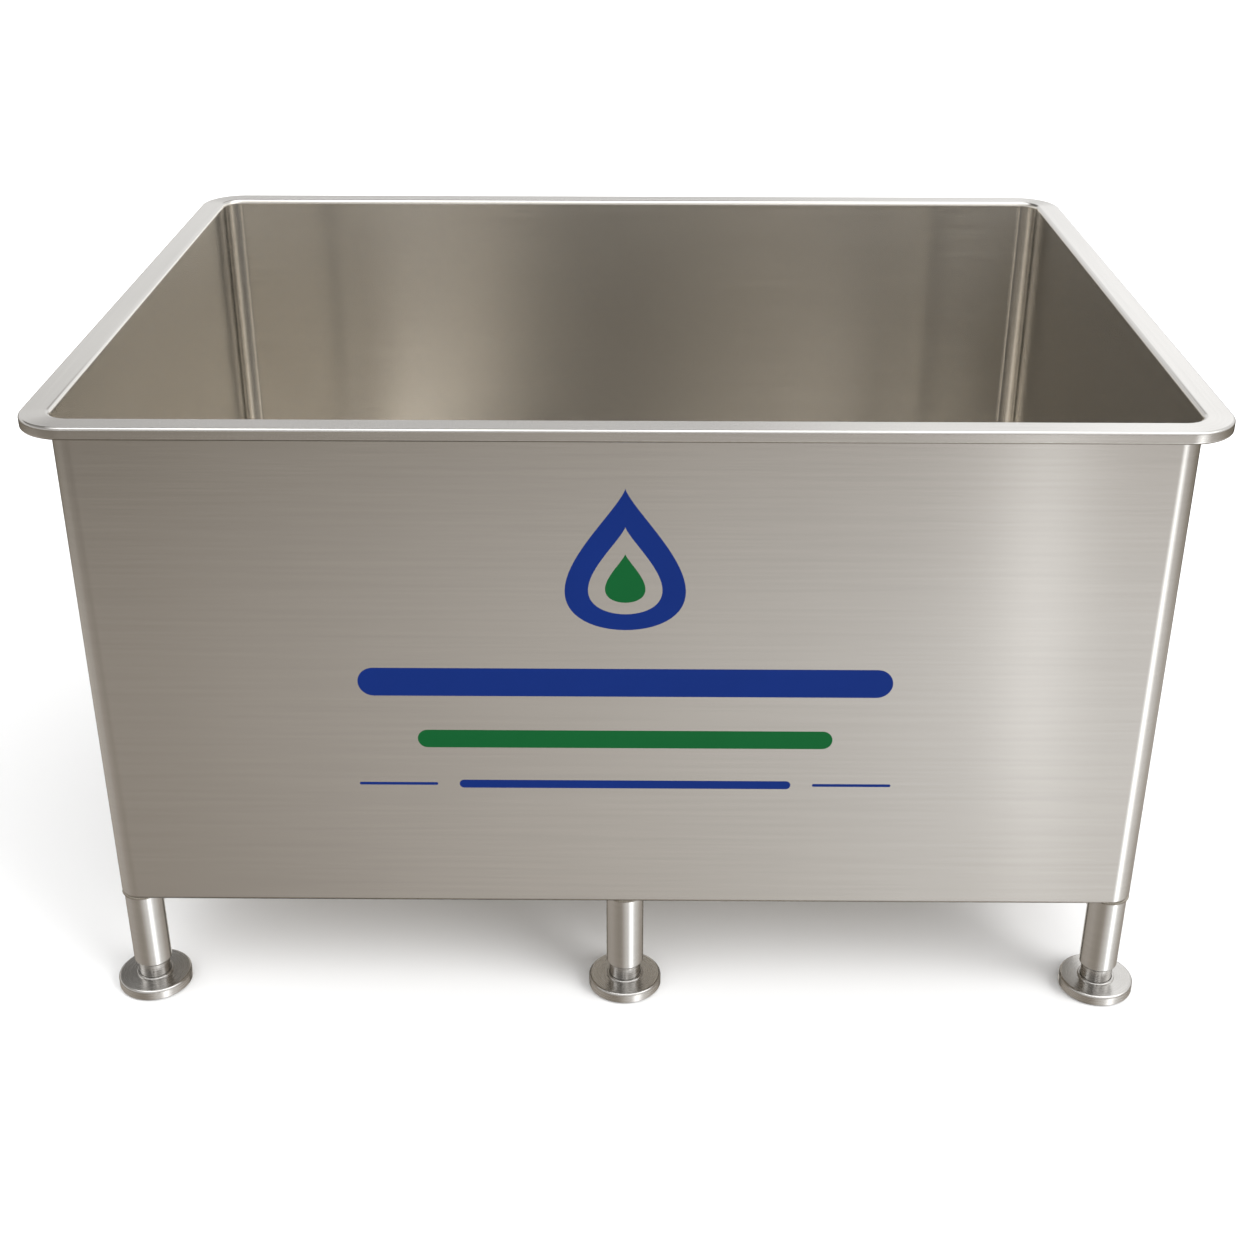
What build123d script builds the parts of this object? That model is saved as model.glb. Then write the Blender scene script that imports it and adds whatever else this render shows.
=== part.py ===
from build123d import *
import os

# Open bulk milk tank in single-skin stainless sheet, on six screw-adjustable feet.
# Millimetres. Origin on the floor under the middle of the rim, +X along the length, +Z up, front towards -Y.

# ---- driving dimensions -------------------------------------------------------------------------------

LENGTH = 1440.0             # over the rim, along X
WIDTH = 1118.0              # over the rim, along Y
BODY_HEIGHT = 690.0         # underside of the tub to rim top
CLEARANCE = 156.0           # floor to the underside of the tub

SHEET = 2.5                 # tub, rim and floor sheet
WALL_CORNER_R = 30.0        # outer radius of the tub's upright corners
FLOOR_BEND_R = 2.5          # inner radius of the fold along the floor's edge
FLOOR_UPSTAND = 20.0        # height of the floor's upturned edge

RIM_FLANGE = 34.5           # from the wall's outer face to the rim's outer face
RIM_LIP = 15.7              # height of the rim's outer face
RIM_HEM = 9.0               # width of the lip's inward return
RIM_LEG = 20.0              # height of the rim's inner leg, down to the wall's top edge
RIM_LEG_BEND_R = 4.0        # inner radius of the fold between the inner leg and the top flat
RIM_LIP_BEND_R = 1.1        # the same between the top flat and the lip
RIM_HEM_BEND_R = 0.7        # the same between the lip and its return

FLOOR_MARGIN = 70.0         # flat border of the floor outside its falls
FLOOR_FALL = 22.0           # from the border down to the outlet
SUMP_LAND = 16.6            # flat round seat about the outlet tube
OUTLET_X = 330.0
OUTLET_Y = 120.0

PIPE_OD = 50.8              # 2 in. dairy tube
PIPE_WALL = 1.65
BEND_R = 50.8               # centre line of the outlet bend
BEND_STUB = 3.0             # straight tube above the bend
OUTLET_SETBACK = 14.0       # outlet's free end, inside the rim's rear edge
OUTLET_TAIL = 115.0         # outlet's free end, behind the middle of the butterfly valve

CHANNEL_WIDTH = 40.0
CHANNEL_HEIGHT = 36.0
CHANNEL_SHEET = 3.0

LEG_SETBACK = 2.6           # leg inside the wall's outer face
LEG_OD = 50.8
LEG_WALL = 2.0
LEG_LIP = 4.3               # height of the spun lip at the leg's mouth
LEG_CHAMFER = 3.0
FOOT_GAP = 19.2             # leg's lower end above the foot's ring

SLEEVE_ROOM = 2.05          # radial, between the foot's sleeve and the leg's bore
SLEEVE_TOP_GAP = 20.0       # sleeve's top below the plug in the leg, which limits how far the foot screws in
SLEEVE_THREAD = 30.0        # threaded length at the sleeve's top
SLEEVE_FLOOR = 10.0         # solid end under the sleeve's bore, above the foot's top face
FLANGE_LEDGE = 2.65         # sleeve's flange beyond the sleeve, held in the foot
FLANGE_HEIGHT = 5.7
STUD_D = 24.0               # pitch cylinder of the screw
PLUG_HEIGHT = 24.0
STUD_CLEARANCE = 4.3        # stud's tip above the leg's lower end

DISC_D = 100.0
DISC_TOP = 16.0             # foot's top face above the floor
DISC_BEVEL = 4.0
RING_LAND = 1.0             # foot's ring beyond the sleeve's flange
RING_HEIGHT = 2.5
PAD_RIM = 4.0               # steel round the rubber pad
PAD_HEIGHT = 5.0
PAD_PROUD = 1.6             # rubber showing under the steel

SLIDE_GAP = 0.3             # between a turning or sliding piece and what it passes
THREAD_GAP = 0.06           # radial, between stud and sleeve
THREAD_RELIEF = 1.5         # radial, below the sleeve's thread
STEM_GAP = 0.05             # radial, between valve stem and its holes

VALVE_BORE_STEP = 0.5       # radial, valve's bore over the tube's
VALVE_FLANGE_LAND = 11.0    # flange beyond the seal
VALVE_FLANGE = 11.0         # each body half's flange, along the pipe
VALVE_NECK = 18.0           # each body half's weld neck
VALVE_BOSS_R = 11.0
VALVE_BOSS_RISE = 6.0       # boss above the flange
SEAL_DEPTH = 7.25           # radial
SEAL_WIDTH = 14.0
SEAL_COVER = 2.0            # steel over the seal, under the stem's boss
DISC_THICKNESS = 5.0
STEM_R = 5.0
STEM_FOOT_DEPTH = 5.0       # lower stem's end below the seal
STEM_END_GAP = 0.5
HANDLE_LENGTH = 120.0
HANDLE_WIDTH = 20.0
HANDLE_THICKNESS = 6.0
HANDLE_HUB_R = 14.0
HANDLE_HUB_HEIGHT = 12.0
BOLT_R = 3.0
BOLT_GAP = 0.3              # radial, in the flange's hole
BOLT_HEAD = 10.0            # across flats
BOLT_HEAD_HEIGHT = 4.0
FERRULE_LAND = 6.6          # clamp flange beyond the tube
FERRULE_FLANGE = 4.0

# ---- places worked out from them ----------------------------------------------------------------------

HEIGHT = CLEARANCE + BODY_HEIGHT             # floor to rim top
WALL_X = LENGTH / 2 - RIM_FLANGE             # wall's outer faces
WALL_Y = WIDTH / 2 - RIM_FLANGE
CORNER_X = WALL_X - WALL_CORNER_R            # axes of the upright corners
CORNER_Y = WALL_Y - WALL_CORNER_R
INNER_CORNER_R = WALL_CORNER_R - SHEET
RIM_SECTION = RIM_FLANGE + SHEET             # from the wall's inner face to the rim's outer face
FLOOR_Z = CLEARANCE
WALL_BOTTOM = FLOOR_Z + FLOOR_UPSTAND
WALL_TOP = HEIGHT - RIM_LEG
SUMP_Z = FLOOR_Z - FLOOR_FALL                # underside of the outlet's seat
SUMP_R = PIPE_OD / 2 + SUMP_LAND
PIPE_ID = PIPE_OD - 2 * PIPE_WALL
PIPE_Z = SUMP_Z - BEND_STUB - BEND_R
OUTLET_END_Y = WIDTH / 2 - OUTLET_SETBACK
VALVE_Y = OUTLET_END_Y - OUTLET_TAIL

LEG_X = WALL_X - LEG_SETBACK - LEG_OD / 2
LEG_Y = WALL_Y - LEG_SETBACK - LEG_OD / 2
LEG_ID = LEG_OD - 2 * LEG_WALL
SLEEVE_OD = LEG_ID - 2 * SLEEVE_ROOM
FLANGE_R = SLEEVE_OD / 2 + FLANGE_LEDGE
PAD_D = DISC_D - 2 * PAD_RIM
LEG_END = DISC_TOP + RING_HEIGHT + FOOT_GAP  # leg's lower end
PLUG_Z = FLOOR_Z - PLUG_HEIGHT
STUD_TIP = LEG_END + STUD_CLEARANCE
SLEEVE_TOP = PLUG_Z - SLEEVE_TOP_GAP
FLANGE_TOP = DISC_TOP - SLIDE_GAP

SEAL_R = PIPE_ID / 2 + SEAL_DEPTH
VALVE_FLANGE_R = SEAL_R + VALVE_FLANGE_LAND
VALVE_BOSS_TOP = VALVE_FLANGE_R + VALVE_BOSS_RISE
STEM_FOOT = SEAL_R + STEM_FOOT_DEPTH         # below the pipe's axis
BOLT_CIRCLE_R = (SEAL_R + VALVE_FLANGE_R) / 2
FERRULE_R = PIPE_OD / 2 + FERRULE_LAND

LEGS = {
    "front_left": (-LEG_X, -LEG_Y),
    "front_middle": (0.0, -LEG_Y),
    "front_right": (LEG_X, -LEG_Y),
    "rear_left": (-LEG_X, LEG_Y),
    "rear_middle": (0.0, LEG_Y),
    "rear_right": (LEG_X, LEG_Y),
}
CORNERS = {"front_left": (-1, -1), "front_right": (1, -1), "rear_left": (-1, 1), "rear_right": (1, 1)}


# ---- helpers ------------------------------------------------------------------------------------------

def outline(points, radii):
    """Face inside a closed outline, with a radius at each corner (0 is sharp)."""
    return make_face(FilletPolyline(*points, radius=radii, close=True))


def cylinder(radius, low, high, x=0.0, y=0.0):
    return Pos(x, y, low) * extrude(Circle(radius), high - low)


def turned(profile):
    """Solid of revolution about Z from (radius, height) points."""
    return revolve(Plane.XZ * make_face(Polyline(*profile, close=True)), Axis.Z)


def rounded_block(half_x, half_y, radius, low, high):
    return Pos(0, 0, low) * extrude(RectangleRounded(2 * half_x, 2 * half_y, radius), high - low)


# ---- tub ----------------------------------------------------------------------------------------------

def long_wall(side):
    """Front (side -1) or rear (side 1) wall panel."""
    middle = side * (WALL_Y - SHEET / 2)
    return Pos(0, middle, (WALL_BOTTOM + WALL_TOP) / 2) * Box(2 * CORNER_X, SHEET, WALL_TOP - WALL_BOTTOM)


def short_wall(side):
    """Left (side -1) or right (side 1) wall panel."""
    middle = side * (WALL_X - SHEET / 2)
    return Pos(middle, 0, (WALL_BOTTOM + WALL_TOP) / 2) * Box(SHEET, 2 * CORNER_Y, WALL_TOP - WALL_BOTTOM)


def corner_place(signs):
    """Turns a corner drawn in the +X +Y quarter to its place."""
    turn = {(1, 1): 0, (-1, 1): 90, (-1, -1): 180, (1, -1): 270}[signs]
    return Pos(signs[0] * CORNER_X, signs[1] * CORNER_Y, 0) * Rot(0, 0, turn)


def wall_corner(signs):
    section = Plane.XZ * Pos((INNER_CORNER_R + WALL_CORNER_R) / 2, (WALL_BOTTOM + WALL_TOP) / 2)
    strip = revolve(section * Rectangle(SHEET, WALL_TOP - WALL_BOTTOM), Axis.Z, 90)
    return corner_place(signs) * strip


def falls(low, high):
    """Shallow upside-down pyramid from the floor's border, at high, to its tip over the outlet, at low."""
    half_x = WALL_X - FLOOR_MARGIN
    half_y = WALL_Y - FLOOR_MARGIN
    corners = [
        Vector(-half_x, -half_y, high),
        Vector(half_x, -half_y, high),
        Vector(half_x, half_y, high),
        Vector(-half_x, half_y, high),
    ]
    tip = Vector(OUTLET_X, OUTLET_Y, low)
    faces = [Face(Wire.make_polygon(corners, close=True))]
    for i in range(4):
        faces.append(Face(Wire.make_polygon([corners[i], corners[(i + 1) % 4], tip], close=True)))
    solid = Solid(Shell(faces))
    return solid if solid.volume > 0 else Solid(Shell([-face for face in faces]))


def floor_pan():
    tray = rounded_block(WALL_X, WALL_Y, WALL_CORNER_R, FLOOR_Z, WALL_BOTTOM)
    tray = fillet(tray.faces().sort_by(Axis.Z)[0].edges(), FLOOR_BEND_R + SHEET)
    inside_x, inside_y = WALL_X - SHEET, WALL_Y - SHEET
    inside = rounded_block(inside_x, inside_y, INNER_CORNER_R, FLOOR_Z + SHEET, WALL_BOTTOM)
    inside = fillet(inside.faces().sort_by(Axis.Z)[0].edges(), FLOOR_BEND_R)
    pan = tray + falls(SUMP_Z, FLOOR_Z) + cylinder(SUMP_R, SUMP_Z, SUMP_Z + SHEET, OUTLET_X, OUTLET_Y)
    pan -= inside
    pan -= falls(SUMP_Z + SHEET, FLOOR_Z + SHEET)
    pan -= cylinder(SUMP_R, SUMP_Z + SHEET, FLOOR_Z, OUTLET_X, OUTLET_Y)
    pan -= cylinder(PIPE_ID / 2, SUMP_Z, FLOOR_Z, OUTLET_X, OUTLET_Y)
    return pan


def rim_section():
    """Rim's cross-section: first coordinate outwards from the wall's inner face, second up from the rim's top."""
    points = [
        (0, -RIM_LEG),
        (0, 0),
        (RIM_SECTION, 0),
        (RIM_SECTION, -RIM_LIP),
        (RIM_SECTION - RIM_HEM, -RIM_LIP),
        (RIM_SECTION - RIM_HEM, SHEET - RIM_LIP),
        (RIM_SECTION - SHEET, SHEET - RIM_LIP),
        (RIM_SECTION - SHEET, -SHEET),
        (SHEET, -SHEET),
        (SHEET, -RIM_LEG),
    ]
    radii = [
        0,
        RIM_LEG_BEND_R + SHEET,
        RIM_LIP_BEND_R + SHEET,
        RIM_HEM_BEND_R + SHEET,
        0,
        0,
        RIM_HEM_BEND_R,
        RIM_LIP_BEND_R,
        RIM_LEG_BEND_R,
        0,
    ]
    return outline(points, radii)


def rim_rail(half_length, wall_face, turn):
    """Straight rim rail, drawn across +X and turned about Z to its side."""
    plane = Plane(origin=(wall_face - SHEET, half_length, HEIGHT), x_dir=(1, 0, 0), z_dir=(0, -1, 0))
    return Rot(0, 0, turn) * extrude(plane * rim_section(), 2 * half_length)


def rim_corner(signs):
    plane = Plane(origin=(INNER_CORNER_R, 0, HEIGHT), x_dir=(1, 0, 0), z_dir=(0, -1, 0))
    return corner_place(signs) * revolve(plane * rim_section(), Axis.Z, 90)


def floor_channel(x):
    """Upward-open channel between a front and a rear leg, notched to the floor's falls."""
    half_length = LEG_Y
    half_width = CHANNEL_WIDTH / 2
    low = FLOOR_Z - CHANNEL_HEIGHT
    outer = Pos(x, 0, (low + FLOOR_Z) / 2) * Box(2 * half_width, 2 * half_length, CHANNEL_HEIGHT)
    hollow_width = CHANNEL_WIDTH - 2 * CHANNEL_SHEET
    hollow = Pos(x, 0, (low + FLOOR_Z + CHANNEL_SHEET) / 2) * Box(
        hollow_width, 2 * half_length, CHANNEL_HEIGHT - CHANNEL_SHEET
    )
    channel = outer - hollow - falls(SUMP_Z, FLOOR_Z)
    for y in (-LEG_Y, LEG_Y):
        channel -= cylinder(LEG_OD / 2, low, FLOOR_Z, x, y)
    return channel


# ---- legs and feet ------------------------------------------------------------------------------------

def leg(x, y):
    mouth = SLEEVE_OD / 2 + SLIDE_GAP
    tube = [
        (LEG_OD / 2, FLOOR_Z),
        (LEG_OD / 2, LEG_END + LEG_CHAMFER),
        (LEG_OD / 2 - LEG_CHAMFER, LEG_END),
        (mouth, LEG_END),
        (mouth, LEG_END + LEG_LIP),
        (LEG_ID / 2, LEG_END + LEG_LIP),
        (LEG_ID / 2, FLOOR_Z),
    ]
    return Pos(x, y, 0) * turned(tube)


def leg_stud(x, y):
    """Plug in the leg's top with its fixed stud; the thread is drawn as a plain cylinder."""
    plug = cylinder(LEG_ID / 2, PLUG_Z, FLOOR_Z, x, y)
    stud = cylinder(STUD_D / 2, STUD_TIP, PLUG_Z, x, y)
    return plug + chamfer(stud.faces().sort_by(Axis.Z)[0].edges(), 2)


def foot_sleeve(x, y):
    """Sleeve that screws on the stud, with a flange that turns in the foot."""
    thread = STUD_D / 2 + THREAD_GAP
    relief = STUD_D / 2 + THREAD_RELIEF
    profile = [
        (0, FLANGE_TOP - FLANGE_HEIGHT),
        (FLANGE_R, FLANGE_TOP - FLANGE_HEIGHT),
        (FLANGE_R, FLANGE_TOP),
        (SLEEVE_OD / 2, FLANGE_TOP),
        (SLEEVE_OD / 2, SLEEVE_TOP - 1),
        (SLEEVE_OD / 2 - 1, SLEEVE_TOP),
        (thread, SLEEVE_TOP),
        (thread, SLEEVE_TOP - SLEEVE_THREAD),
        (relief, SLEEVE_TOP - SLEEVE_THREAD),
        (relief, DISC_TOP + SLEEVE_FLOOR),
        (0, DISC_TOP + SLEEVE_FLOOR),
    ]
    return Pos(x, y, 0) * turned(profile)


def foot_ring(x, y):
    """Ring on the foot that keeps the sleeve's flange in."""
    inner = SLEEVE_OD / 2 + SLIDE_GAP
    outer = FLANGE_R + RING_LAND
    rounding = RING_HEIGHT * 0.4
    section = outline(
        [(inner, DISC_TOP), (outer, DISC_TOP), (outer, DISC_TOP + RING_HEIGHT), (inner, DISC_TOP + RING_HEIGHT)],
        [0, 0, rounding, 0],
    )
    return Pos(x, y, 0) * revolve(Plane.XZ * section, Axis.Z)


def foot_disc(x, y):
    """Round foot with a socket for the sleeve's flange above and a recess for the rubber below."""
    radius = DISC_D / 2
    socket = FLANGE_R + SLIDE_GAP
    socket_floor = FLANGE_TOP - FLANGE_HEIGHT - SLIDE_GAP
    profile = [
        (0, PAD_HEIGHT),
        (PAD_D / 2, PAD_HEIGHT),
        (PAD_D / 2, PAD_PROUD),
        (radius, PAD_PROUD),
        (radius, DISC_TOP - DISC_BEVEL),
        (radius - DISC_BEVEL, DISC_TOP),
        (socket, DISC_TOP),
        (socket, socket_floor),
        (0, socket_floor),
    ]
    return Pos(x, y, 0) * turned(profile)


def foot_pad(x, y):
    return cylinder(PAD_D / 2, 0, PAD_HEIGHT, x, y)


# ---- outlet -------------------------------------------------------------------------------------------

def pipe_along(radius, start, end):
    """Round bar along +Y on the outlet's axis."""
    return Pos(OUTLET_X, start, PIPE_Z) * Rot(-90, 0, 0) * extrude(Circle(radius), end - start)


def outlet_bend():
    """Tube from the floor's outlet, down and back to the valve."""
    run_end = VALVE_Y - VALVE_FLANGE - VALVE_NECK
    bend_y = OUTLET_Y + BEND_R
    top = Vector(OUTLET_X, OUTLET_Y, SUMP_Z)
    bend_top = Vector(OUTLET_X, OUTLET_Y, PIPE_Z + BEND_R)
    bend_end = Vector(OUTLET_X, bend_y, PIPE_Z)
    path = Wire([
        Edge.make_line(top, bend_top),
        Edge.make_tangent_arc(bend_top, Vector(0, 0, -1), bend_end),
        Edge.make_line(bend_end, Vector(OUTLET_X, run_end, PIPE_Z)),
    ])
    ring = Circle(PIPE_OD / 2) - Circle(PIPE_ID / 2)
    return sweep(Plane(origin=top, z_dir=(0, 0, -1)) * ring, path)


def valve_half():
    """Downstream half of the valve's body: weld neck, flange, half of the stem's boss."""
    flange_end = VALVE_Y + VALVE_FLANGE
    neck_end = flange_end + VALVE_NECK
    boss_low = PIPE_Z + SEAL_R + SEAL_COVER
    boss = cylinder(VALVE_BOSS_R, boss_low, PIPE_Z + VALVE_BOSS_TOP, OUTLET_X, VALVE_Y)
    boss &= Pos(OUTLET_X, VALVE_Y + VALVE_BOSS_R, PIPE_Z) * Box(
        4 * VALVE_BOSS_R, 2 * VALVE_BOSS_R, 4 * VALVE_BOSS_TOP
    )
    body = pipe_along(VALVE_FLANGE_R, VALVE_Y, flange_end) + boss
    body += pipe_along(PIPE_OD / 2, flange_end, neck_end)
    body -= pipe_along(PIPE_ID / 2 + VALVE_BORE_STEP, VALVE_Y, neck_end)
    body -= pipe_along(SEAL_R, VALVE_Y, VALVE_Y + SEAL_WIDTH / 2)
    body -= cylinder(
        STEM_R + STEM_GAP, PIPE_Z - STEM_FOOT - STEM_END_GAP, PIPE_Z + VALVE_BOSS_TOP, OUTLET_X, VALVE_Y
    )
    for x, z in bolt_places():
        body -= Pos(x, VALVE_Y, z) * Rot(-90, 0, 0) * extrude(Circle(BOLT_R + BOLT_GAP), VALVE_FLANGE)
    return body


def across_valve(body):
    """The same piece on the valve's upstream side."""
    return mirror(body, about=Plane(origin=(0, VALVE_Y, 0), z_dir=(0, 1, 0)))


def valve_seal():
    seal = pipe_along(SEAL_R, VALVE_Y - SEAL_WIDTH / 2, VALVE_Y + SEAL_WIDTH / 2)
    seal -= pipe_along(PIPE_ID / 2, VALVE_Y - SEAL_WIDTH / 2, VALVE_Y + SEAL_WIDTH / 2)
    return seal - cylinder(STEM_R + STEM_GAP, PIPE_Z - SEAL_R, PIPE_Z + SEAL_R, OUTLET_X, VALVE_Y)


def valve_disc():
    """Butterfly disc with its stem, shut."""
    radius = PIPE_ID / 2 - SLIDE_GAP
    disc = pipe_along(radius, VALVE_Y - DISC_THICKNESS / 2, VALVE_Y + DISC_THICKNESS / 2)
    top = PIPE_Z + VALVE_BOSS_TOP + SLIDE_GAP + HANDLE_HUB_HEIGHT
    return disc + cylinder(STEM_R, PIPE_Z - STEM_FOOT, top, OUTLET_X, VALVE_Y)


def valve_handle():
    """Lever on the stem, across the pipe when the valve is shut."""
    low = PIPE_Z + VALVE_BOSS_TOP + SLIDE_GAP
    bar_low = low + (HANDLE_HUB_HEIGHT - HANDLE_THICKNESS) / 2
    bar = Pos(OUTLET_X + HANDLE_LENGTH / 2, VALVE_Y, bar_low) * extrude(
        SlotOverall(HANDLE_LENGTH + HANDLE_WIDTH, HANDLE_WIDTH), HANDLE_THICKNESS
    )
    handle = bar + cylinder(HANDLE_HUB_R, low, low + HANDLE_HUB_HEIGHT, OUTLET_X, VALVE_Y)
    return handle - cylinder(STEM_R, low, low + HANDLE_HUB_HEIGHT, OUTLET_X, VALVE_Y)


def bolt_places():
    """Four (x, z) places round the valve's flange."""
    reach = BOLT_CIRCLE_R * 0.5 ** 0.5
    return [(OUTLET_X + i * reach, PIPE_Z + k * reach) for i in (-1, 1) for k in (-1, 1)]


def valve_bolt(x, z):
    """Bolt with its nut, along Y through both flanges."""
    start = VALVE_Y - VALVE_FLANGE
    shank = extrude(Circle(BOLT_R), 2 * VALVE_FLANGE + BOLT_HEAD_HEIGHT + 2)
    head = extrude(RegularPolygon(BOLT_HEAD / 2, 6, major_radius=False), BOLT_HEAD_HEIGHT)
    along = Pos(x, start, z) * Rot(-90, 0, 0)
    return along * (shank + Pos(0, 0, -BOLT_HEAD_HEIGHT) * head + Pos(0, 0, 2 * VALVE_FLANGE) * head)


def outlet_ferrule():
    start = VALVE_Y + VALVE_FLANGE + VALVE_NECK
    body = pipe_along(PIPE_OD / 2, start, OUTLET_END_Y)
    body += pipe_along(FERRULE_R, OUTLET_END_Y - FERRULE_FLANGE, OUTLET_END_Y)
    return body - pipe_along(PIPE_ID / 2, start, OUTLET_END_Y)


# ---- parts --------------------------------------------------------------------------------------------

parts = {
    "front_wall": long_wall(-1),
    "rear_wall": long_wall(1),
    "left_wall": short_wall(-1),
    "right_wall": short_wall(1),
    "floor_pan": floor_pan(),
    "rim_right": rim_rail(CORNER_Y, WALL_X, 0),
    "rim_rear": rim_rail(CORNER_X, WALL_Y, 90),
    "rim_left": rim_rail(CORNER_Y, WALL_X, 180),
    "rim_front": rim_rail(CORNER_X, WALL_Y, 270),
    "channel_left": floor_channel(-LEG_X),
    "channel_middle": floor_channel(0.0),
    "channel_right": floor_channel(LEG_X),
    "leg_studs": Compound(children=[leg_stud(x, y) for x, y in LEGS.values()]),
    "outlet_bend": outlet_bend(),
    "valve_body_front": across_valve(valve_half()),
    "valve_body_rear": valve_half(),
    "valve_seal": valve_seal(),
    "valve_disc": valve_disc(),
    "valve_handle": valve_handle(),
    "valve_bolts": Compound(children=[valve_bolt(x, z) for x, z in bolt_places()]),
    "outlet_ferrule": outlet_ferrule(),
}
for name, signs in CORNERS.items():
    parts["wall_corner_" + name] = wall_corner(signs)
    parts["rim_corner_" + name] = rim_corner(signs)
for name, (x, y) in LEGS.items():
    parts["leg_" + name] = leg(x, y)
    parts["foot_" + name + "_sleeve"] = foot_sleeve(x, y)
    parts["foot_" + name + "_ring"] = foot_ring(x, y)
    parts["foot_" + name + "_disc"] = foot_disc(x, y)
    parts["foot_" + name + "_pad"] = foot_pad(x, y)

os.makedirs("parts", exist_ok=True)
for name, shape in parts.items():
    export_step(shape, "parts/" + name + ".step")
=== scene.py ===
import math
from functools import cache

import bmesh
import bpy
from bpy.props import FloatProperty, FloatVectorProperty, IntProperty, PointerProperty
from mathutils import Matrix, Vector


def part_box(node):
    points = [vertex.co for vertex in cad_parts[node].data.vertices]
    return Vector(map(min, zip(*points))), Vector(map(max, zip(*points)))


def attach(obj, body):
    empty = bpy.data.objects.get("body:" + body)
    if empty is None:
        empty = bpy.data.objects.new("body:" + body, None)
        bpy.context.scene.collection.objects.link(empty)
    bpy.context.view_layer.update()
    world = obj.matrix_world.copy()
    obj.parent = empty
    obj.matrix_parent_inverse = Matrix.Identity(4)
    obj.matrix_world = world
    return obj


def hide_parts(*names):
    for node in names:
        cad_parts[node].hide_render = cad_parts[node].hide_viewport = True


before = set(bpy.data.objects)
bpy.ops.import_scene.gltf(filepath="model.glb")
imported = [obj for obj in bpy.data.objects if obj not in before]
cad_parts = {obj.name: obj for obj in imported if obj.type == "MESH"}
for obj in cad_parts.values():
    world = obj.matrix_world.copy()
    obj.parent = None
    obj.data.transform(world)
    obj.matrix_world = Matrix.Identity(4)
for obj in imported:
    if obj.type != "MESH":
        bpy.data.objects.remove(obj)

bl_info = {
    "name": "Open milk tank",
    "version": (1, 0, 0),
    "blender": (4, 5, 0),
    "location": "3D View > Sidebar > Milk tank",
    "description": "Finished sheet, feet, outlet and print for an open stainless milk tank",
    "category": "Add Mesh",
}

MM = 0.001
LEG_NAMES = ("front_left", "front_middle", "front_right", "rear_left", "rear_middle", "rear_right")
CORNER_NAMES = ("front_left", "front_right", "rear_left", "rear_right")
SIDES = ("front", "rear", "left", "right")
CHANNELS = ("channel_left", "channel_middle", "channel_right")
CIRCLE_STEPS = 48
TUB = "tub"


# ---- settings ----

def length(name, millimetres, text):
    """Setting for a size, given in millimetres and kept in metres."""
    return FloatProperty(name=name, description=text, default=millimetres * MM, unit="LENGTH", precision=5)


def linear(code):
    """Linear RGBA from an sRGB hex colour."""
    values = [int(code[i:i + 2], 16) / 255 for i in (1, 3, 5)]
    return [v / 12.92 if v <= 0.04045 else ((v + 0.055) / 1.055) ** 2.4 for v in values] + [1.0]


def colour(name, code, text):
    """Setting for a colour, given as sRGB hex."""
    return FloatVectorProperty(
        name=name, description=text, default=linear(code), size=4, min=0, max=1, subtype="COLOR"
    )


class TankSheet(bpy.types.PropertyGroup):
    """Sheet and folds of the tub and its rim."""

    sheet: length("Sheet", 2.5, "Thickness of the tub, rim and floor")
    floor_fold: length("Floor fold", 5.0, "Outer radius of the fold between wall and floor")
    floor_border: length("Floor border", 12.0, "Width of floor that belongs to the wall's piece")
    rim_lip: length("Rim lip", 15.7, "Height of the rim's outer face")
    rim_hem: length("Rim hem", 9.0, "Width of the lip's inward return")
    rim_inner_fold: length("Rim inner fold", 6.5, "Radius between the inner wall and the rim's top")
    rim_outer_fold: length("Rim outer fold", 3.6, "Radius between the rim's top and its lip")
    rim_hem_fold: length("Rim hem fold", 3.2, "Radius between the lip and its return")
    corner_steps: IntProperty(name="Corner steps", description="Faces round each upright corner", default=20, min=4)


class TankFinish(bpy.types.PropertyGroup):
    """Colours of the metal, rubber and print."""

    satin: colour("Satin stainless", "#cccac7", "Brushed sheet")
    # Lighter than the satin sheet: painted light that lifts the shade inside the tub.
    inside: colour("Polished inside", "#e4e0d9", "Polished sheet inside the tub")
    tube: colour("Polished tube", "#cccbc9", "Legs and outlet")
    turned: colour("Turned stainless", "#c9c7c4", "Feet")
    weld: colour("Weld", "#a8a196", "Brushed weld beads")
    rubber: colour("Foot rubber", "#1d1d1e", "Foot pads")
    seal: colour("Seal rubber", "#54575c", "Valve seal")
    blue: colour("Print blue", "#001f60", "Blue vinyl")
    green: colour("Print green", "#014c22", "Green vinyl")


class TankStudio(bpy.types.PropertyGroup):
    """Camera and floor."""

    lens: FloatProperty(name="Lens", description="Focal length on a 36 mm sensor", default=50.91, unit="CAMERA")
    camera: FloatVectorProperty(
        name="Camera", description="Camera's place", default=(0.014, -2.481, 1.5817), subtype="TRANSLATION"
    )
    pitch: FloatProperty(name="Pitch", description="Camera's tilt down", default=math.radians(27.265), subtype="ANGLE")
    yaw: FloatProperty(name="Yaw", description="Camera's turn left", default=math.radians(0.392), subtype="ANGLE")
    roll: FloatProperty(name="Roll", description="Camera's lean", default=math.radians(-0.094), subtype="ANGLE")
    floor_size: length("Floor", 60000, "Side of the studio floor")


# ---- mesh helpers ----

def unit(v):
    size = math.hypot(*v)
    return (v[0] / size, v[1] / size)


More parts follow.
